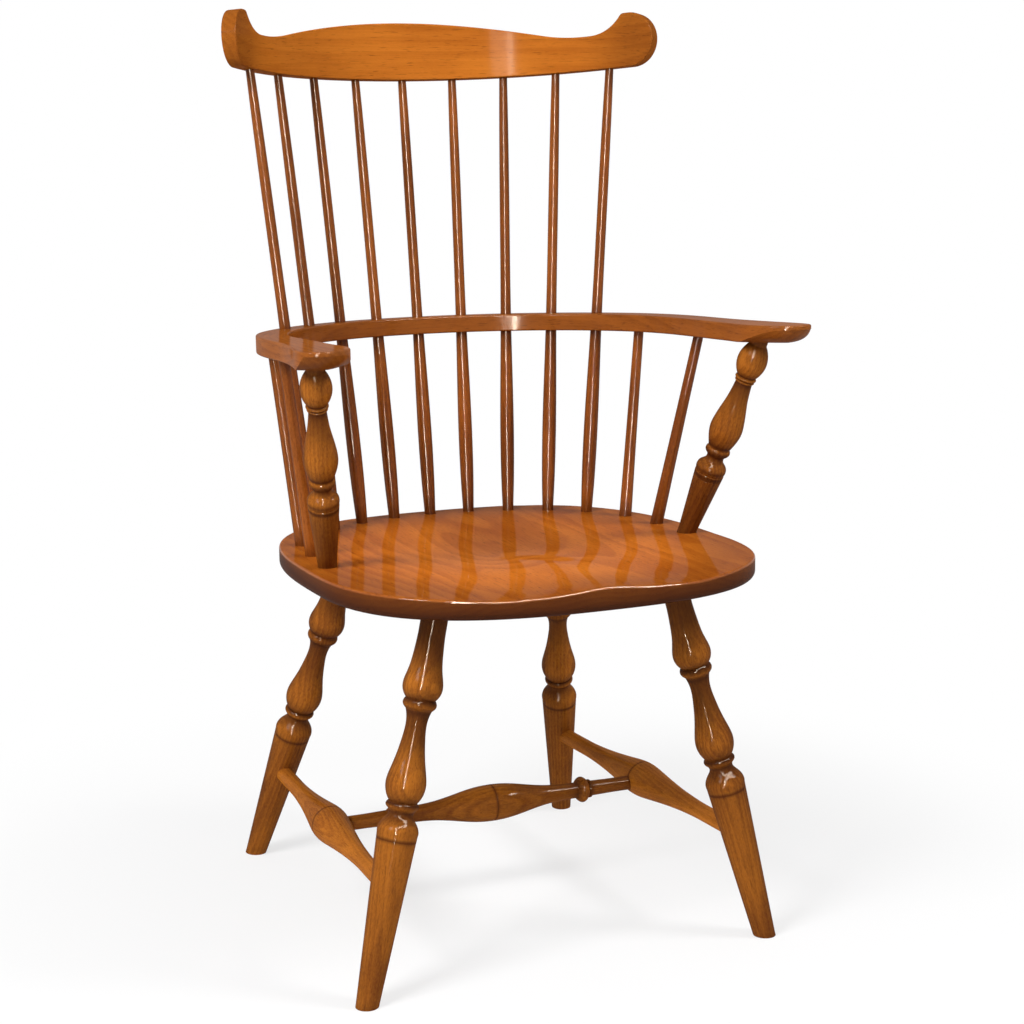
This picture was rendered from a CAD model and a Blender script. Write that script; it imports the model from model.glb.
"""Looks of a spindle back armchair: stained, lacquered wood on every piece, and a white studio.

The chair faces -Y, the sitter's left hand is at +X and the floor is z = 0. All lengths are metres.
"""
from math import cos, pi, radians, sin

import bpy
import numpy as np
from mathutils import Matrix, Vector


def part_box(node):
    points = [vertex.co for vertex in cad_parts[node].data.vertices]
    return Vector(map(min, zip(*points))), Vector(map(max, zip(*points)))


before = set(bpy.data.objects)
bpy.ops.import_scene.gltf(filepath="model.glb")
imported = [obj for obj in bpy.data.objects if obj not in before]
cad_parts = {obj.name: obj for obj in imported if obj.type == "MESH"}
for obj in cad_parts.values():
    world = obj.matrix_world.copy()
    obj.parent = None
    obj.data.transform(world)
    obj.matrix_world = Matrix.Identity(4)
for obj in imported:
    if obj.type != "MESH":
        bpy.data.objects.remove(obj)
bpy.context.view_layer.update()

bl_info = {
    "name": "Spindle Back Armchair",
    "version": (1, 0, 0),
    "blender": (4, 5, 0),
    "location": "3D View > Sidebar > Armchair",
    "description": "Lacquered wood finishes and a white studio for a spindle back armchair",
    "category": "Object",
}

# Pieces that are finished as groups
SIDES = ("left", "right")
LONG_SPINDLE_COUNT = 9
LEGS = [f"leg_{where}_{side}" for where in ("front", "rear") for side in SIDES]
SIDE_STRETCHERS = [f"side_stretcher_{side}" for side in SIDES]
POSTS = [f"arm_post_{side}" for side in SIDES]
LONG_SPINDLES = [f"long_spindle_{number}" for number in range(1, LONG_SPINDLE_COUNT + 1)]
SHORT_SPINDLES = [f"short_spindle_{side}_{where}" for side in SIDES for where in ("rear", "front")]

# Seeds of the grain. A group has its first piece's seed and the step to the next piece's.
SEAT_SEED = 3.1
LEG_SEEDS = (1.3, 0.7)
SIDE_STRETCHER_SEEDS = (5.2, 0.9)
CROSS_STRETCHER_SEED = 7.7
POST_SEEDS = (9.1, 0.8)
LONG_SPINDLE_SEEDS = (11.0, 0.9)
SHORT_SPINDLE_SEEDS = (21.0, 0.9)
ARM_SEED = 31.7
COMB_SEED = 37.3

# Glaze that stays in the turnings: distances from the lower end as shares of the piece's length,
# and how dark the glaze is there
LEG_GLAZE = [
    (0.0, 0.55), (0.02, 0.36), (0.20, 0.32), (0.38, 0.3), (0.404, 0.35), (0.411, 0.95),
    (0.418, 0.3), (0.44, 0.2), (0.462, 0.7), (0.478, 0.9), (0.486, 0.25), (0.496, 0.95),
    (0.515, 0.4), (0.545, 0.0), (0.59, 0.2), (0.64, 0.55), (0.70, 0.75), (0.717, 0.95),
    (0.731, 0.35), (0.745, 0.95), (0.762, 0.4), (0.787, 0.0), (0.825, 0.45), (0.87, 0.7),
    (0.95, 0.85)]
POST_GLAZE = [
    (0.06, 0.72), (0.11, 0.6), (0.25, 0.55), (0.32, 0.5), (0.338, 0.95), (0.35, 0.4),
    (0.365, 0.8), (0.378, 0.3), (0.40, 0.25), (0.43, 0.9), (0.452, 0.75), (0.462, 0.25),
    (0.475, 0.95), (0.50, 0.45), (0.545, 0.12), (0.60, 0.2), (0.67, 0.48), (0.74, 0.74),
    (0.765, 0.95), (0.772, 0.3), (0.779, 0.95), (0.787, 0.3), (0.797, 0.95), (0.82, 0.4),
    (0.855, 0.12), (0.90, 0.3), (0.945, 0.75)]
STRETCHER_GLAZE = [
    (0.0, 0.5), (0.06, 0.1), (0.20, 0.0), (0.494, 0.0), (0.5, 0.8), (0.506, 0.0), (0.80, 0.0),
    (0.94, 0.1), (1.0, 0.5)]
CROSS_GLAZE = [
    (0.0, 0.7), (0.06, 0.5), (0.18, 0.45), (0.19, 0.8), (0.20, 0.4), (0.22, 0.4), (0.23, 0.8),
    (0.26, 0.48), (0.40, 0.4), (0.494, 0.36), (0.5, 0.9), (0.506, 0.36), (0.60, 0.4),
    (0.74, 0.48), (0.77, 0.8), (0.78, 0.4), (0.80, 0.4), (0.81, 0.8), (0.83, 0.45), (0.94, 0.5),
    (1.0, 0.7)]
LONG_SPINDLE_GLAZE = [
    (0.04, 0.5), (0.07, 0.05), (0.36, 0.1), (0.40, 0.45), (0.44, 0.5), (0.48, 0.18),
    (0.90, 0.18), (0.965, 0.6)]
SHORT_SPINDLE_GLAZE = [(0.08, 0.5), (0.14, 0.05), (0.84, 0.1), (0.95, 0.55)]

# Grain: its parts, and for the noise behind them the features per metre across and along the piece
GRAIN_PARTS = ("Rings", "Fibres", "Flecks", "Pores", "Mottle")
DRIFT_STRETCH = (9, 9, 1.6)
FIBRE_STRETCH = (420, 420, 9)
FLECK_STRETCH = (700, 700, 260)
PORE_STRETCH = (900, 900, 60)
MOTTLE_STRETCH = (14, 14, 5)
NOISE_ROUGHNESS = 0.6
NOISE_MEAN = 0.5
PORE_RANGE = (0.6, 0.74)
MOTTLE_RANGE = (0.3, 0.7)

# Shares of one year's growth over which the ring darkens and then ends, and the ring's mean
LATE_WOOD_RANGE = (0.1, 0.85)
YEAR_END_RANGE = (0.86, 1.0)
RING_MEAN = 0.45

# Each kind of piece: place of the pith, scale of the rings, how far they wander, and the share of
# each part of the grain in the wood's tone
SEAT_GRAIN = {"pith": (0.03, 0.30, 0.0), "ring_scale": 1.0, "wander": 0.035,
              "rings": 0.35, "fibres": 0.7, "flecks": 0.5, "mottle": 0.45}
BENT_GRAIN = {"pith": (0.05, -0.03, 0.0), "ring_scale": 1.0, "wander": 0.03,
              "rings": 0.25, "fibres": 0.9, "flecks": 0.4, "mottle": 0.45}
TURNED_GRAIN = {"ring_scale": 0.7, "wander": 0.02,
                "rings": 0.22, "fibres": 0.6, "flecks": 0.85, "mottle": 0.6}

# A turned piece's pith lies this far beside its axis, and differs this much from piece to piece
TURNED_PITH = 0.035
TURNED_PITH_SPREAD = (0.01, 0.02)

# Stain and lacquer
TONE_RANGE = (-0.75, 0.75)
PORE_GLAZE = 0.45
WOOD_ROUGHNESS = 0.3
FIBRE_ROUGHNESS = 0.18
GLAZE_ROUGHNESS = 0.15
FIBRE_HEIGHT = 0.6
PORE_HEIGHT = -0.8
BUMP_STRENGTH = 0.12
BUMP_DISTANCE = 0.0004
LACQUER_IOR = 1.5

# Turned pieces: how far a surface turns from the eye while it darkens, and the part of that
# darkening which the side stretchers have
TURNED_RIM_RANGE = (0.15, 0.8)
SIDE_STRETCHER_RIM = 0.2

# Bent pieces: how far a surface faces down while it darkens, how dark it gets, and the distance
# from the middle, along the bend, over which the ends darken
UNDER_RANGE = (0.3, 0.95)
UNDER_GLAZE = 0.55
END_RANGE = (0.22, 0.31)
NO_END_GLAZE = 0.0

# The bends: the hands stand out past the arm bow, and the comb's back lies behind its bend line
ARM_HAND_REACH = 0.017
ARM_HALF_WIDTH = 0.014
COMB_RADIUS = 0.295
COMB_BACK = 0.018

# Seat: the grain's turn from front to back, how far a surface faces up while the edge's glaze
# goes, the share of the way to the edge over which the top darkens, the depths below the seat's
# highest point between which the side darkens, and where the rim's lacquer starts and ends
SEAT_TURN = (pi / 2, 0.0, 0.0)
SEAT_EDGE_RANGE = (0.1, 0.9)
SEAT_SHADING_RANGE = (0.62, 1.0)
SEAT_SIDE_DEPTHS = (0.006, 0.024)
SEAT_SIDE_GLAZE = (0.82, 0.99)
RIM_START_RANGE = (0.2, 0.45)
RIM_END_RANGE = (0.7, 0.95)

# Studio
LAMP_TARGET = (0.0, 0.0, 0.55)
FLOOR_REACH = 14.0
FLOOR_DROP = 0.0002
SENSOR_WIDTH = 36.0
WHITE = (1.0, 1.0, 1.0, 1.0)

# A Mix node's sockets for colours, which share their names with its sockets for numbers
MIX_COLOURS_IN = (6, 7)
MIX_COLOUR_OUT = 2


class ArmchairFinish(bpy.types.PropertyGroup):
    """Colours and gloss of the chair's wood."""

    seat_light: bpy.props.FloatVectorProperty(
        name="Seat Light", description="Paler wood of the seat", subtype="COLOR",
        default=(0.62, 0.174, 0.016))
    seat_dark: bpy.props.FloatVectorProperty(
        name="Seat Dark", description="Darker growth rings of the seat", subtype="COLOR",
        default=(0.38, 0.085, 0.007))
    turned_light: bpy.props.FloatVectorProperty(
        name="Turned Light", description="Paler wood of legs, cross stretcher and posts",
        subtype="COLOR", default=(0.51, 0.165, 0.018))
    turned_dark: bpy.props.FloatVectorProperty(
        name="Turned Dark", description="Darker wood of legs, cross stretcher and posts",
        subtype="COLOR", default=(0.15, 0.041, 0.007))
    stretcher_light: bpy.props.FloatVectorProperty(
        name="Stretcher Light", description="Paler wood of the side stretchers", subtype="COLOR",
        default=(0.60, 0.198, 0.021))
    stretcher_dark: bpy.props.FloatVectorProperty(
        name="Stretcher Dark", description="Darker wood of the side stretchers", subtype="COLOR",
        default=(0.23, 0.064, 0.009))
    spindle_light: bpy.props.FloatVectorProperty(
        name="Spindle Light", description="Paler wood of the spindles", subtype="COLOR",
        default=(0.39, 0.108, 0.015))
    spindle_dark: bpy.props.FloatVectorProperty(
        name="Spindle Dark", description="Darker wood of the spindles", subtype="COLOR",
        default=(0.14, 0.034, 0.005))
    arm_light: bpy.props.FloatVectorProperty(
        name="Arm Light", description="Paler wood of the arm bow", subtype="COLOR",
        default=(0.315, 0.092, 0.013))
    arm_dark: bpy.props.FloatVectorProperty(
        name="Arm Dark", description="Darker wood of the arm bow", subtype="COLOR",
        default=(0.170, 0.045, 0.007))
    comb_light: bpy.props.FloatVectorProperty(
        name="Comb Light", description="Paler wood of the comb", subtype="COLOR",
        default=(0.53, 0.162, 0.018))
    comb_dark: bpy.props.FloatVectorProperty(
        name="Comb Dark", description="Darker wood of the comb", subtype="COLOR",
        default=(0.33, 0.086, 0.009))
    glaze: bpy.props.FloatVectorProperty(
        name="Glaze", description="Dark glaze left in coves, corners and pores", subtype="COLOR",
        default=(0.045, 0.012, 0.004))
    rim_glaze: bpy.props.FloatProperty(
        name="Rim Glaze", description="How dark the lacquer looks where a turned piece curves away",
        default=0.6, min=0.0, max=1.0, subtype="FACTOR")
    ear_glaze: bpy.props.FloatProperty(
        name="Ear Glaze", description="How dark the glaze is on the comb's ears",
        default=0.42, min=0.0, max=1.0, subtype="FACTOR")
    seat_shading: bpy.props.FloatProperty(
        name="Seat Shading", description="How dark the glaze is at the rim of the seat's top",
        default=0.45, min=0.0, max=1.0, subtype="FACTOR")
    ring_width: bpy.props.FloatProperty(
        name="Ring Width", description="Width of one year's growth", default=0.0065, min=0.001,
        unit="LENGTH")
    seat_coat: bpy.props.FloatProperty(
        name="Seat Lacquer", description="Strength of the reflection in the seat's lacquer",
        default=0.10, min=0.0, max=1.0, subtype="FACTOR")
    rim_coat: bpy.props.FloatProperty(
        name="Rim Lacquer", description="Lacquer that is added on the seat's eased rim",
        default=0.34, min=0.0, max=1.0, subtype="FACTOR")
    turned_coat: bpy.props.FloatProperty(
        name="Turned Lacquer",
        description="Strength of the reflection in the lacquer of legs, stretchers and posts",
        default=0.07, min=0.0, max=1.0, subtype="FACTOR")
    spindle_coat: bpy.props.FloatProperty(
        name="Spindle Lacquer", description="Strength of the reflection in the spindles' lacquer",
        default=0.2, min=0.0, max=1.0, subtype="FACTOR")
    arm_coat: bpy.props.FloatProperty(
        name="Arm Lacquer", description="Strength of the reflection in the arm bow's lacquer",
        default=0.13, min=0.0, max=1.0, subtype="FACTOR")
    comb_coat: bpy.props.FloatProperty(
        name="Comb Lacquer", description="Strength of the reflection in the comb's lacquer",
        default=0.02, min=0.0, max=1.0, subtype="FACTOR")
    coat_roughness: bpy.props.FloatProperty(
        name="Lacquer Roughness", description="Blur of what the lacquer mirrors",
        default=0.06, min=0.0, max=1.0, subtype="FACTOR")
    bent_coat_roughness: bpy.props.FloatProperty(
        name="Bent Lacquer Roughness",
        description="Blur of what the lacquer of arm bow and comb mirrors",
        default=0.12, min=0.0, max=1.0, subtype="FACTOR")


class ArmchairStage(bpy.types.PropertyGroup):
    """Camera, lamps and floor."""

    camera_place: bpy.props.FloatVectorProperty(
        name="Camera Place", description="Where the camera stands", subtype="TRANSLATION",
        unit="LENGTH", default=(-0.99566, -2.28302, 1.00967))
    camera_look: bpy.props.FloatVectorProperty(
        name="Camera Look", description="The way the camera looks", subtype="DIRECTION",
        default=(0.38824, 0.89820, -0.20615))
    camera_lens: bpy.props.FloatProperty(
        name="Lens", description="Focal length on a 36 mm sensor", default=75.71, min=1.0,
        unit="CAMERA")
    camera_shift: bpy.props.FloatProperty(
        name="Shift", description="Sideways shift of the picture", default=0.0248)
    floor_colour: bpy.props.FloatVectorProperty(
        name="Floor", description="Colour of the floor", subtype="COLOR",
        default=(0.9, 0.9, 0.905))
    floor_lift: bpy.props.FloatProperty(
        name="Floor Lift", description="How far the floor near the chair is lifted towards white",
        default=0.7, min=0.0, max=1.0, subtype="FACTOR")
    floor_near: bpy.props.FloatProperty(
        name="Floor Near", description="Distance at which the floor starts to turn white",
        default=0.4, unit="LENGTH")
    floor_far: bpy.props.FloatProperty(
        name="Floor Far", description="Distance at which the floor is white", default=0.95,
        unit="LENGTH")
    shine_colour: bpy.props.FloatVectorProperty(
        name="Shine", description="Colour of the lamps that only shine in the lacquer",
        subtype="COLOR", default=(1.0, 0.86, 0.7))
    key_power: bpy.props.FloatProperty(
        name="Key", description="Power of the large lamp on the left", default=95.0, min=0.0,
        unit="POWER")
    fill_power: bpy.props.FloatProperty(
        name="Fill", description="Power of the smaller lamp on the right", default=48.0, min=0.0,
        unit="POWER")
    tall_power: bpy.props.FloatProperty(
        name="Tall", description="Power of the tall lamp in front, which only shines in the lacquer",
        default=270.0, min=0.0, unit="POWER")
    over_power: bpy.props.FloatProperty(
        name="Over",
        description="Power of the lamp over the front, which only shines in the lacquer",
        default=800.0, min=0.0, unit="POWER")
    strip_power: bpy.props.FloatProperty(
        name="Strip",
        description="Power of the thin tall lamp in front, which only shines in the lacquer",
        default=400.0, min=0.0, unit="POWER")
    low_power: bpy.props.FloatProperty(
        name="Low",
        description="Power of the small low lamp in front, which only shines in the lacquer",
        default=36.0, min=0.0, unit="POWER")
    sky_strength: bpy.props.FloatProperty(
        name="Sky", description="Strength of the even light from all sides", default=0.38, min=0.0)


def fill_socket(tree, socket, value):
    """Link a socket to another node's output, or set its value."""
    if isinstance(value, bpy.types.NodeSocket):
        tree.links.new(value, socket)
    else:
        socket.default_value = value


def add_node(tree, kind, inputs=None, **settings):
    """Add a node, set its settings, and link or set its inputs."""
    node = tree.nodes.new(kind)
    for name, value in settings.items():
        setattr(node, name, value)
    for name, value in (inputs or {}).items():
        fill_socket(tree, node.inputs[name], value)
    return node


def calc(tree, operation, *values):
    """The output of a math node."""
    return add_node(tree, "ShaderNodeMath", dict(enumerate(values)), operation=operation).outputs[0]


def vector_calc(tree, operation, *values):
    """The vector output of a vector math node."""
    node = add_node(tree, "ShaderNodeVectorMath", dict(enumerate(values)), operation=operation)
    return node.outputs["Vector"]


def vector_length(tree, vector):
    """The length of a vector."""
    return add_node(tree, "ShaderNodeVectorMath", {0: vector}, operation="LENGTH").outputs["Value"]


def split(tree, vector):
    """The X, Y and Z outputs of a vector."""
    return add_node(tree, "ShaderNodeSeparateXYZ", {0: vector}).outputs


def joined(tree, x, y, z):
    """A vector from its three numbers."""
    return add_node(tree, "ShaderNodeCombineXYZ", {0: x, 1: y, 2: z}).outputs[0]


def remap(tree, value, source, target=(0.0, 1.0), kind="SMOOTHSTEP"):
    """A value carried from one range to another and held at its ends."""
    inputs = {"Value": value, "From Min": source[0], "From Max": source[1],
              "To Min": target[0], "To Max": target[1]}
    node = add_node(tree, "ShaderNodeMapRange", inputs, interpolation_type=kind)
    return node.outputs["Result"]


def noise(tree, vector, stretch, detail):
    """Noise with so many features per metre along each axis."""
    scaled = vector_calc(tree, "MULTIPLY", vector, stretch)
    inputs = {"Vector": scaled, "Scale": 1.0, "Detail": detail, "Roughness": NOISE_ROUGHNESS}
    return add_node(tree, "ShaderNodeTexNoise", inputs).outputs["Fac"]


def mix_colour(tree, factor, first, second):
    """Two colours mixed by a factor."""
    node = add_node(tree, "ShaderNodeMix", {"Factor": factor}, data_type="RGBA")
    for index, value in zip(MIX_COLOURS_IN, (first, second)):
        fill_socket(tree, node.inputs[index], value)
    return node.outputs[MIX_COLOUR_OUT]


def object_place(tree):
    """Places in the chair's frame."""
    return add_node(tree, "ShaderNodeTexCoord").outputs["Object"]


def facing_up(tree):
    """How far the surface faces up: 1 is level, 0 is upright and -1 is an underside."""
    return split(tree, add_node(tree, "ShaderNodeNewGeometry").outputs["Normal"])["Z"]


def new_group(name, inputs, outputs):
    """A shader node group with its sockets, and its input and output nodes' sockets."""
    tree = bpy.data.node_groups.new(name, "ShaderNodeTree")
    for direction, sockets in (("INPUT", inputs), ("OUTPUT", outputs)):
        for socket, kind in sockets.items():
            tree.interface.new_socket(
                name=socket, in_out=direction, socket_type=f"NodeSocket{kind}")
    given = tree.nodes.new("NodeGroupInput").outputs
    return tree, given, tree.nodes.new("NodeGroupOutput").inputs


def make_grain_group():
    """Rings round a pith line, fibres, flecks, pores and a slow change of tone, along Z."""
    inputs = {"Piece": "Vector", "Pith": "Vector", "Ring Width": "Float", "Wander": "Float",
              "Seed": "Float"}
    tree, given, result = new_group("Wood grain", inputs, dict.fromkeys(GRAIN_PARTS, "Float"))
    offset = joined(tree, given["Seed"], given["Seed"], given["Seed"])
    place = vector_calc(tree, "ADD", given["Piece"], offset)
    from_pith = vector_calc(tree, "SUBTRACT", given["Piece"], given["Pith"])
    radius = vector_length(tree, vector_calc(tree, "MULTIPLY", from_pith, (1, 1, 0)))
    drift = calc(tree, "SUBTRACT", noise(tree, place, DRIFT_STRETCH, detail=2.0), NOISE_MEAN)
    wandered = calc(tree, "MULTIPLY_ADD", drift, given["Wander"], radius)
    year = calc(tree, "FRACT", calc(tree, "DIVIDE", wandered, given["Ring Width"]))
    late_wood = remap(tree, year, LATE_WOOD_RANGE)
    pores = noise(tree, place, PORE_STRETCH, detail=1.0)
    mottle = noise(tree, place, MOTTLE_STRETCH, detail=3.0)
    parts = {
        "Rings": calc(tree, "SUBTRACT", late_wood, remap(tree, year, YEAR_END_RANGE)),
        "Fibres": noise(tree, place, FIBRE_STRETCH, detail=4.0),
        "Flecks": noise(tree, place, FLECK_STRETCH, detail=2.0),
        "Pores": remap(tree, pores, PORE_RANGE),
        "Mottle": remap(tree, mottle, MOTTLE_RANGE),
    }
    for part, output in parts.items():
        tree.links.new(output, result[part])
    return tree


def make_stain_group():
    """The stained wood's colour, and its roughness and height, from the parts of the grain."""
    shares = ("Ring Share", "Fibre Share", "Fleck Share", "Mottle Share")
    inputs = dict.fromkeys((*GRAIN_PARTS, "Corners", *shares), "Float")
    inputs |= dict.fromkeys(("Light", "Dark", "Glaze"), "Color")
    outputs = {"Colour": "Color", "Roughness": "Float", "Height": "Float"}
    tree, given, result = new_group("Stained wood", inputs, outputs)
    rings = calc(tree, "SUBTRACT", given["Rings"], RING_MEAN)
    fibres = calc(tree, "SUBTRACT", given["Fibres"], NOISE_MEAN)
    flecks = calc(tree, "SUBTRACT", given["Flecks"], NOISE_MEAN)
    mottle = calc(tree, "SUBTRACT", given["Mottle"], NOISE_MEAN)
    tone = calc(tree, "MULTIPLY", rings, given["Ring Share"])
    tone = calc(tree, "MULTIPLY_ADD", fibres, given["Fibre Share"], tone)
    tone = calc(tree, "MULTIPLY_ADD", flecks, given["Fleck Share"], tone)
    tone = calc(tree, "MULTIPLY_ADD", mottle, given["Mottle Share"], tone)
    colour = mix_colour(tree, remap(tree, tone, TONE_RANGE), given["Light"], given["Dark"])
    pore_glaze = calc(tree, "MULTIPLY", given["Pores"], PORE_GLAZE)
    colour = mix_colour(tree, pore_glaze, colour, given["Glaze"])
    colour = mix_colour(tree, given["Corners"], colour, given["Glaze"])
    tree.links.new(colour, result["Colour"])
    rough = calc(tree, "MULTIPLY_ADD", given["Fibres"], FIBRE_ROUGHNESS, WOOD_ROUGHNESS)
    rough = calc(tree, "MULTIPLY_ADD", given["Corners"], GLAZE_ROUGHNESS, rough)
    tree.links.new(rough, result["Roughness"])
    raised = calc(tree, "MULTIPLY", fibres, FIBRE_HEIGHT)
    height = calc(tree, "MULTIPLY_ADD", given["Pores"], PORE_HEIGHT, raised)
    tree.links.new(height, result["Height"])
    return tree


def make_bend_group():
    """Coordinates in a bent board: Z along the bend, X through it and Y up it.

    The bend ends at its widest point, and from there the board runs straight ahead.
    """
    inputs = {"Place": "Vector", "Centre": "Vector", "Radius": "Float"}
    tree, given, result = new_group("Bent board", inputs, {"Piece": "Vector"})
    x, y, z = split(tree, vector_calc(tree, "SUBTRACT", given["Place"], given["Centre"]))
    back = calc(tree, "MAXIMUM", y, 0.0)
    ahead = calc(tree, "MINIMUM", y, 0.0)
    turn = calc(tree, "ARCTAN2", calc(tree, "ABSOLUTE", x), back)
    along = calc(tree, "SUBTRACT", calc(tree, "MULTIPLY", turn, given["Radius"]), ahead)
    along = calc(tree, "MULTIPLY", along, calc(tree, "SIGN", x))
    reach = vector_length(tree, joined(tree, x, back, 0.0))
    through = calc(tree, "SUBTRACT", reach, given["Radius"])
    tree.links.new(joined(tree, through, z, along), result["Piece"])
    return tree


def place_group(tree, name, maker, inputs):
    """Put a shared node group, made the first time it is asked for, into a material."""
    shared = bpy.data.node_groups.get(name) or maker()
    return add_node(tree, "ShaderNodeGroup", inputs, node_tree=shared).outputs


def turned_axis(node):
    """Lower end and direction of a turned piece, and its length, read from its own mesh."""
    points = np.array([vertex.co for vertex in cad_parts[node].data.vertices])
    middle = points.mean(axis=0)
    along = np.linalg.svd((points - middle).T @ (points - middle))[0][:, 0]
    if along[np.argmax(np.abs(along))] < 0:
        along = -along
    reach = (points - middle) @ along
    low = middle + along * reach.min()
    return Vector(low), Vector(along), float(reach.max() - reach.min())


def opaque(colour):
    """A colour property as the four numbers of a colour socket."""
    return (*colour, 1.0)


def new_material(node):
    """An empty node material on one piece of the chair."""
    material = bpy.data.materials.new(f"{node}_lacquered_wood")
    material.use_nodes = True
    material.node_tree.nodes.clear()
    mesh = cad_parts[node].data
    mesh.materials.clear()
    mesh.materials.append(material)
    return material


def stained(tree, piece, corners, woods, grain, finish):
    """The stained wood's outputs for a piece's own coordinates, with glaze in its corners."""
    light, dark = woods
    parts = place_group(tree, "Wood grain", make_grain_group, {
        "Piece": piece, "Pith": grain["pith"], "Wander": grain["wander"], "Seed": grain["seed"],
        "Ring Width": finish.ring_width * grain["ring_scale"]})
    inputs = {part: parts[part] for part in GRAIN_PARTS}
    inputs |= {"Ring Share": grain["rings"], "Fibre Share": grain["fibres"],
               "Fleck Share": grain["flecks"], "Mottle Share": grain["mottle"],
               "Corners": corners, "Light": opaque(light), "Dark": opaque(dark),
               "Glaze": opaque(finish.glaze)}
    return place_group(tree, "Stained wood", make_stain_group, inputs)


def lacquered(tree, wood, coat, coat_roughness):
    """Finish a material: stained wood under clear lacquer, with a bump of its fibres and pores."""
    bump = add_node(tree, "ShaderNodeBump", {
        "Strength": BUMP_STRENGTH, "Distance": BUMP_DISTANCE, "Height": wood["Height"]})
    shader = add_node(tree, "ShaderNodeBsdfPrincipled", {
        "Base Color": wood["Colour"], "Roughness": wood["Roughness"],
        "Normal": bump.outputs["Normal"], "IOR": LACQUER_IOR, "Specular IOR Level": 0.0,
        "Coat Weight": coat, "Coat Roughness": coat_roughness, "Coat IOR": LACQUER_IOR})
    add_node(tree, "ShaderNodeOutputMaterial", {"Surface": shader.outputs["BSDF"]})


def glaze_ramp(tree, share, glaze_stops):
    """How dark the glaze is at a share of a turned piece's length."""
    ramp = add_node(tree, "ShaderNodeValToRGB", {"Fac": share})
    stops = ramp.color_ramp.elements
    while len(stops) < len(glaze_stops):
        stops.new(0.5)
    for stop, (position, darkness) in zip(stops, glaze_stops):
        stop.position = position
        stop.color = (darkness, darkness, darkness, 1.0)
    return ramp.outputs["Color"]


def finish_turned(node, woods, glaze_stops, rim_glaze, coat, seed, finish):
    """Wood along a turned piece's axis, with glaze in its coves and where it curves away."""
    tree = new_material(node).node_tree
    low, along, length = turned_axis(node)
    turn = along.to_track_quat("Z", "Y").to_euler()
    inputs = {"Vector": object_place(tree), "Location": low, "Rotation": turn}
    piece = add_node(tree, "ShaderNodeMapping", inputs, vector_type="TEXTURE").outputs["Vector"]
    coves = glaze_ramp(tree, calc(tree, "DIVIDE", split(tree, piece)["Z"], length), glaze_stops)
    facing = add_node(tree, "ShaderNodeLayerWeight", {"Blend": 0.5}).outputs["Facing"]
    rim = calc(tree, "MULTIPLY", remap(tree, facing, TURNED_RIM_RANGE), rim_glaze)
    corners = calc(tree, "MAXIMUM", coves, rim)
    spread_x, spread_y = TURNED_PITH_SPREAD
    pith = (TURNED_PITH + spread_x * sin(seed), spread_y * cos(seed), 0.0)
    grain = {**TURNED_GRAIN, "pith": pith, "seed": seed}
    wood = stained(tree, piece, corners, woods, grain, finish)
    lacquered(tree, wood, coat, finish.coat_roughness)


def finish_turned_group(nodes, woods, glaze_stops, rim_glaze, coat, seeds, finish):
    """Finish turned pieces that differ only in the seed of their grain."""
    first, step = seeds
    for number, node in enumerate(nodes):
        finish_turned(node, woods, glaze_stops, rim_glaze, coat, first + step * number, finish)


def finish_bent(node, centre, radius, woods, end_glaze, coat, seed, finish):
    """Wood along a bent board, with glaze under it and towards its ends."""
    tree = new_material(node).node_tree
    inputs = {"Place": object_place(tree), "Centre": centre, "Radius": radius}
    piece = place_group(tree, "Bent board", make_bend_group, inputs)["Piece"]
    facing_down = calc(tree, "MULTIPLY", facing_up(tree), -1.0)
    under = calc(tree, "MULTIPLY", remap(tree, facing_down, UNDER_RANGE), UNDER_GLAZE)
    along = calc(tree, "ABSOLUTE", split(tree, piece)["Z"])
    ends = calc(tree, "MULTIPLY", remap(tree, along, END_RANGE), end_glaze)
    corners = calc(tree, "MAXIMUM", under, ends)
    wood = stained(tree, piece, corners, woods, {**BENT_GRAIN, "seed": seed}, finish)
    lacquered(tree, wood, coat, finish.bent_coat_roughness)


class ARMCHAIR_OT_finish_seat(bpy.types.Operator):
    """Give the seat a plain-sawn board's grain from front to back"""

    bl_idname = "armchair.finish_seat"
    bl_label = "Finish Seat"

    def execute(self, context):
        finish = context.scene.armchair_finish
        tree = new_material("seat").node_tree
        place = object_place(tree)
        inputs = {"Vector": place, "Rotation": SEAT_TURN}
        piece = add_node(tree, "ShaderNodeMapping", inputs).outputs["Vector"]
        facing = facing_up(tree)
        edge = calc(tree, "SUBTRACT", 1.0, remap(tree, facing, SEAT_EDGE_RANGE))
        low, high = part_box("seat")
        side_heights = [high.z - depth for depth in SEAT_SIDE_DEPTHS]
        height = split(tree, place)["Z"]
        side = remap(tree, height, side_heights, SEAT_SIDE_GLAZE, kind="LINEAR")
        middle = ((low.x + high.x) / 2, (low.y + high.y) / 2, 0.0)
        shares = (2 / (high.x - low.x), 2 / (high.y - low.y), 0.0)
        from_middle = vector_calc(tree, "SUBTRACT", place, middle)
        reach = vector_length(tree, vector_calc(tree, "MULTIPLY", from_middle, shares))
        shaded = remap(tree, reach, SEAT_SHADING_RANGE)
        shaded = calc(tree, "MULTIPLY", shaded, finish.seat_shading)
        corners = calc(tree, "MAXIMUM", calc(tree, "MULTIPLY", edge, side), shaded)
        woods = finish.seat_light, finish.seat_dark
        wood = stained(tree, piece, corners, woods, {**SEAT_GRAIN, "seed": SEAT_SEED}, finish)
        rim_start = remap(tree, facing, RIM_START_RANGE)
        rim = calc(tree, "SUBTRACT", rim_start, remap(tree, facing, RIM_END_RANGE))
        coat = calc(tree, "MULTIPLY_ADD", rim, finish.rim_coat, finish.seat_coat)
        lacquered(tree, wood, coat, finish.coat_roughness)
        return {"FINISHED"}


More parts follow.
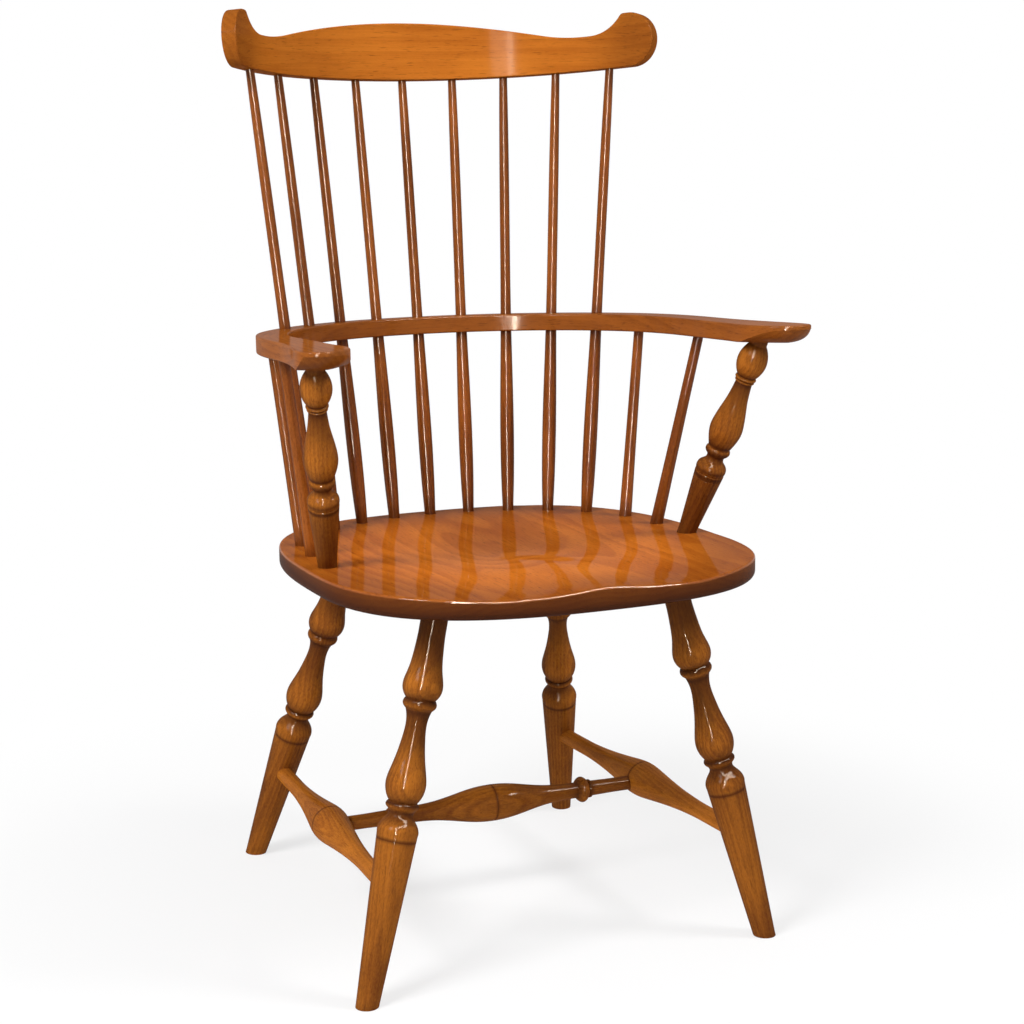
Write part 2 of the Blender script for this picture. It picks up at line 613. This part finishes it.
class ARMCHAIR_OT_finish_legs(bpy.types.Operator):
    """Stain and lacquer the four turned legs"""

    bl_idname = "armchair.finish_legs"
    bl_label = "Finish Legs"

    def execute(self, context):
        finish = context.scene.armchair_finish
        woods = finish.turned_light, finish.turned_dark
        finish_turned_group(LEGS, woods, LEG_GLAZE, finish.rim_glaze, finish.turned_coat,
                            LEG_SEEDS, finish)
        return {"FINISHED"}


class ARMCHAIR_OT_finish_stretchers(bpy.types.Operator):
    """Stain and lacquer the stretchers between the legs"""

    bl_idname = "armchair.finish_stretchers"
    bl_label = "Finish Stretchers"

    def execute(self, context):
        finish = context.scene.armchair_finish
        side_woods = finish.stretcher_light, finish.stretcher_dark
        finish_turned_group(SIDE_STRETCHERS, side_woods, STRETCHER_GLAZE,
                            finish.rim_glaze * SIDE_STRETCHER_RIM, finish.turned_coat,
                            SIDE_STRETCHER_SEEDS, finish)
        cross_woods = finish.turned_light, finish.turned_dark
        finish_turned("cross_stretcher", cross_woods, CROSS_GLAZE, finish.rim_glaze,
                      finish.turned_coat, CROSS_STRETCHER_SEED, finish)
        return {"FINISHED"}


class ARMCHAIR_OT_finish_posts(bpy.types.Operator):
    """Stain and lacquer the turned posts under the hands"""

    bl_idname = "armchair.finish_posts"
    bl_label = "Finish Arm Posts"

    def execute(self, context):
        finish = context.scene.armchair_finish
        woods = finish.turned_light, finish.turned_dark
        finish_turned_group(POSTS, woods, POST_GLAZE, finish.rim_glaze, finish.turned_coat,
                            POST_SEEDS, finish)
        return {"FINISHED"}


class ARMCHAIR_OT_finish_spindles(bpy.types.Operator):
    """Stain and lacquer the long and short spindles"""

    bl_idname = "armchair.finish_spindles"
    bl_label = "Finish Spindles"

    def execute(self, context):
        finish = context.scene.armchair_finish
        woods = finish.spindle_light, finish.spindle_dark
        finish_turned_group(LONG_SPINDLES, woods, LONG_SPINDLE_GLAZE, finish.rim_glaze,
                            finish.spindle_coat, LONG_SPINDLE_SEEDS, finish)
        finish_turned_group(SHORT_SPINDLES, woods, SHORT_SPINDLE_GLAZE, finish.rim_glaze,
                            finish.spindle_coat, SHORT_SPINDLE_SEEDS, finish)
        return {"FINISHED"}


class ARMCHAIR_OT_finish_arm_rail(bpy.types.Operator):
    """Give the arm bow a grain that follows its bend"""

    bl_idname = "armchair.finish_arm_rail"
    bl_label = "Finish Arm Bow"

    def execute(self, context):
        low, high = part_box("arm_rail")
        outer = (high.x - low.x) / 2 - ARM_HAND_REACH
        centre = (0.0, high.y - outer, (low.z + high.z) / 2)
        finish = context.scene.armchair_finish
        woods = finish.arm_light, finish.arm_dark
        finish_bent("arm_rail", centre, outer - ARM_HALF_WIDTH, woods, NO_END_GLAZE,
                    finish.arm_coat, ARM_SEED, finish)
        return {"FINISHED"}


class ARMCHAIR_OT_finish_comb(bpy.types.Operator):
    """Give the comb a grain that follows its bend"""

    bl_idname = "armchair.finish_comb"
    bl_label = "Finish Comb"

    def execute(self, context):
        low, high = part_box("comb")
        centre = (0.0, high.y - COMB_RADIUS - COMB_BACK, (low.z + high.z) / 2)
        finish = context.scene.armchair_finish
        woods = finish.comb_light, finish.comb_dark
        finish_bent("comb", centre, COMB_RADIUS, woods, finish.ear_glaze, finish.comb_coat,
                    COMB_SEED, finish)
        return {"FINISHED"}


def lamp(name, azimuth, elevation, distance, size, power):
    """A soft rectangular lamp that points at the chair from an azimuth and elevation in degrees."""
    turn, rise = radians(azimuth), radians(elevation)
    away = Vector((sin(turn) * cos(rise), -cos(turn) * cos(rise), sin(rise)))
    data = bpy.data.lights.new(name, "AREA")
    data.shape = "RECTANGLE"
    data.size, data.size_y = size
    data.energy = power
    light = bpy.data.objects.new(name, data)
    light.location = Vector(LAMP_TARGET) + away * distance
    light.rotation_euler = (-away).to_track_quat("-Z", "Y").to_euler()
    bpy.context.scene.collection.objects.link(light)
    return light


def background_rays(tree):
    """1 for rays that show the background, straight or in gloss and glass, and 0 for its light."""
    path = add_node(tree, "ShaderNodeLightPath").outputs
    seen = calc(tree, "ADD", path["Is Camera Ray"], path["Is Glossy Ray"])
    return calc(tree, "MINIMUM", calc(tree, "ADD", seen, path["Is Transmission Ray"]), 1.0)


class ARMCHAIR_OT_set_stage(bpy.types.Operator):
    """Set up the white floor and background, the lamps and the camera"""

    bl_idname = "armchair.set_stage"
    bl_label = "Set Stage"

    def execute(self, context):
        scene = context.scene
        stage = scene.armchair_stage
        scene.view_settings.view_transform = "Standard"
        self.add_floor(stage)
        self.add_sky(scene, stage)
        self.add_lamps(stage)
        self.add_camera(scene, stage)
        return {"FINISHED"}

    def add_floor(self, stage):
        """Add a white floor that keeps the chair's shadow and fades into the background."""
        corners = [(x * FLOOR_REACH, y * FLOOR_REACH, -FLOOR_DROP)
                   for x, y in ((-1, -1), (1, -1), (1, 1), (-1, 1))]
        mesh = bpy.data.meshes.new("studio_floor")
        mesh.from_pydata(corners, [], [(0, 1, 2, 3)])
        floor = bpy.data.objects.new("studio_floor", mesh)
        bpy.context.scene.collection.objects.link(floor)
        material = bpy.data.materials.new("white_floor")
        material.use_nodes = True
        tree = material.node_tree
        tree.nodes.clear()
        matt = add_node(tree, "ShaderNodeBsdfDiffuse", {"Color": opaque(stage.floor_colour)})
        away = vector_length(tree, object_place(tree))
        fade = (stage.floor_near, stage.floor_far)
        lift = remap(tree, away, fade, (stage.floor_lift, 1.0))
        share = calc(tree, "MULTIPLY", background_rays(tree), lift)
        white = add_node(tree, "ShaderNodeEmission", {"Color": WHITE, "Strength": 1.0})
        both = add_node(tree, "ShaderNodeMixShader", {
            0: share, 1: matt.outputs["BSDF"], 2: white.outputs["Emission"]})
        add_node(tree, "ShaderNodeOutputMaterial", {"Surface": both.outputs["Shader"]})
        mesh.materials.append(material)

    def add_sky(self, scene, stage):
        """Add a sky that looks white and lights the chair evenly."""
        world = bpy.data.worlds.new("studio_sky")
        scene.world = world
        world.use_nodes = True
        tree = world.node_tree
        tree.nodes.clear()
        strengths = (stage.sky_strength, 1.0)
        strength = remap(tree, background_rays(tree), (0.0, 1.0), strengths, kind="LINEAR")
        sky = add_node(tree, "ShaderNodeBackground", {"Color": WHITE, "Strength": strength})
        add_node(tree, "ShaderNodeOutputWorld", {"Surface": sky.outputs["Background"]})

    def add_lamps(self, stage):
        """Add the two lamps that light the chair, and four that only shine in its lacquer."""
        lamp("key_lamp", azimuth=-65, elevation=35, distance=3.2, size=(1.1, 1.1),
             power=stage.key_power)
        lamp("fill_lamp", azimuth=55, elevation=42, distance=3.2, size=(0.8, 0.8),
             power=stage.fill_power)
        shine = [
            lamp("tall_lamp", azimuth=-27, elevation=26, distance=3.4, size=(0.55, 1.7),
                 power=stage.tall_power),
            lamp("over_lamp", azimuth=10, elevation=50, distance=3.0, size=(4.5, 0.5),
                 power=stage.over_power),
            lamp("strip_lamp", azimuth=-32, elevation=12, distance=3.4, size=(0.12, 2.8),
                 power=stage.strip_power),
            lamp("low_lamp", azimuth=-27, elevation=5, distance=3.4, size=(0.35, 0.3),
                 power=stage.low_power),
        ]
        for light in shine:
            light.visible_diffuse = False
            light.data.color = stage.shine_colour

    def add_camera(self, scene, stage):
        """Add the camera that the photograph was taken with."""
        data = bpy.data.cameras.new("photo_camera")
        data.sensor_width = SENSOR_WIDTH
        data.lens = stage.camera_lens
        data.shift_x = stage.camera_shift
        camera = bpy.data.objects.new("photo_camera", data)
        camera.location = stage.camera_place
        camera.rotation_euler = Vector(stage.camera_look).to_track_quat("-Z", "Y").to_euler()
        scene.collection.objects.link(camera)
        scene.camera = camera


OPERATORS = (
    ARMCHAIR_OT_finish_seat,
    ARMCHAIR_OT_finish_legs,
    ARMCHAIR_OT_finish_stretchers,
    ARMCHAIR_OT_finish_posts,
    ARMCHAIR_OT_finish_spindles,
    ARMCHAIR_OT_finish_arm_rail,
    ARMCHAIR_OT_finish_comb,
    ARMCHAIR_OT_set_stage,
)


class ARMCHAIR_PT_sidebar(bpy.types.Panel):
    """Finishes and stage of the armchair"""

    bl_idname = "ARMCHAIR_PT_sidebar"
    bl_label = "Spindle Back Armchair"
    bl_space_type = "VIEW_3D"
    bl_region_type = "UI"
    bl_category = "Armchair"

    def draw(self, context):
        for settings in (context.scene.armchair_finish, context.scene.armchair_stage):
            column = self.layout.column()
            for name in settings.__annotations__:
                column.prop(settings, name)
        for operator in OPERATORS:
            self.layout.operator(operator.bl_idname)


CLASSES = (ArmchairFinish, ArmchairStage, *OPERATORS, ARMCHAIR_PT_sidebar)


def register():
    """Register the classes and hang the settings on the scene."""
    for cls in CLASSES:
        bpy.utils.register_class(cls)
    bpy.types.Scene.armchair_finish = bpy.props.PointerProperty(type=ArmchairFinish)
    bpy.types.Scene.armchair_stage = bpy.props.PointerProperty(type=ArmchairStage)


def unregister():
    """Take the settings off the scene and unregister the classes."""
    del bpy.types.Scene.armchair_stage
    del bpy.types.Scene.armchair_finish
    for cls in reversed(CLASSES):
        bpy.utils.unregister_class(cls)


def main():
    """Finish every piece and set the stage."""
    register()
    bpy.ops.armchair.finish_seat()
    bpy.ops.armchair.finish_legs()
    bpy.ops.armchair.finish_stretchers()
    bpy.ops.armchair.finish_posts()
    bpy.ops.armchair.finish_spindles()
    bpy.ops.armchair.finish_arm_rail()
    bpy.ops.armchair.finish_comb()
    bpy.ops.armchair.set_stage()


if __name__ == "__main__":
    main()
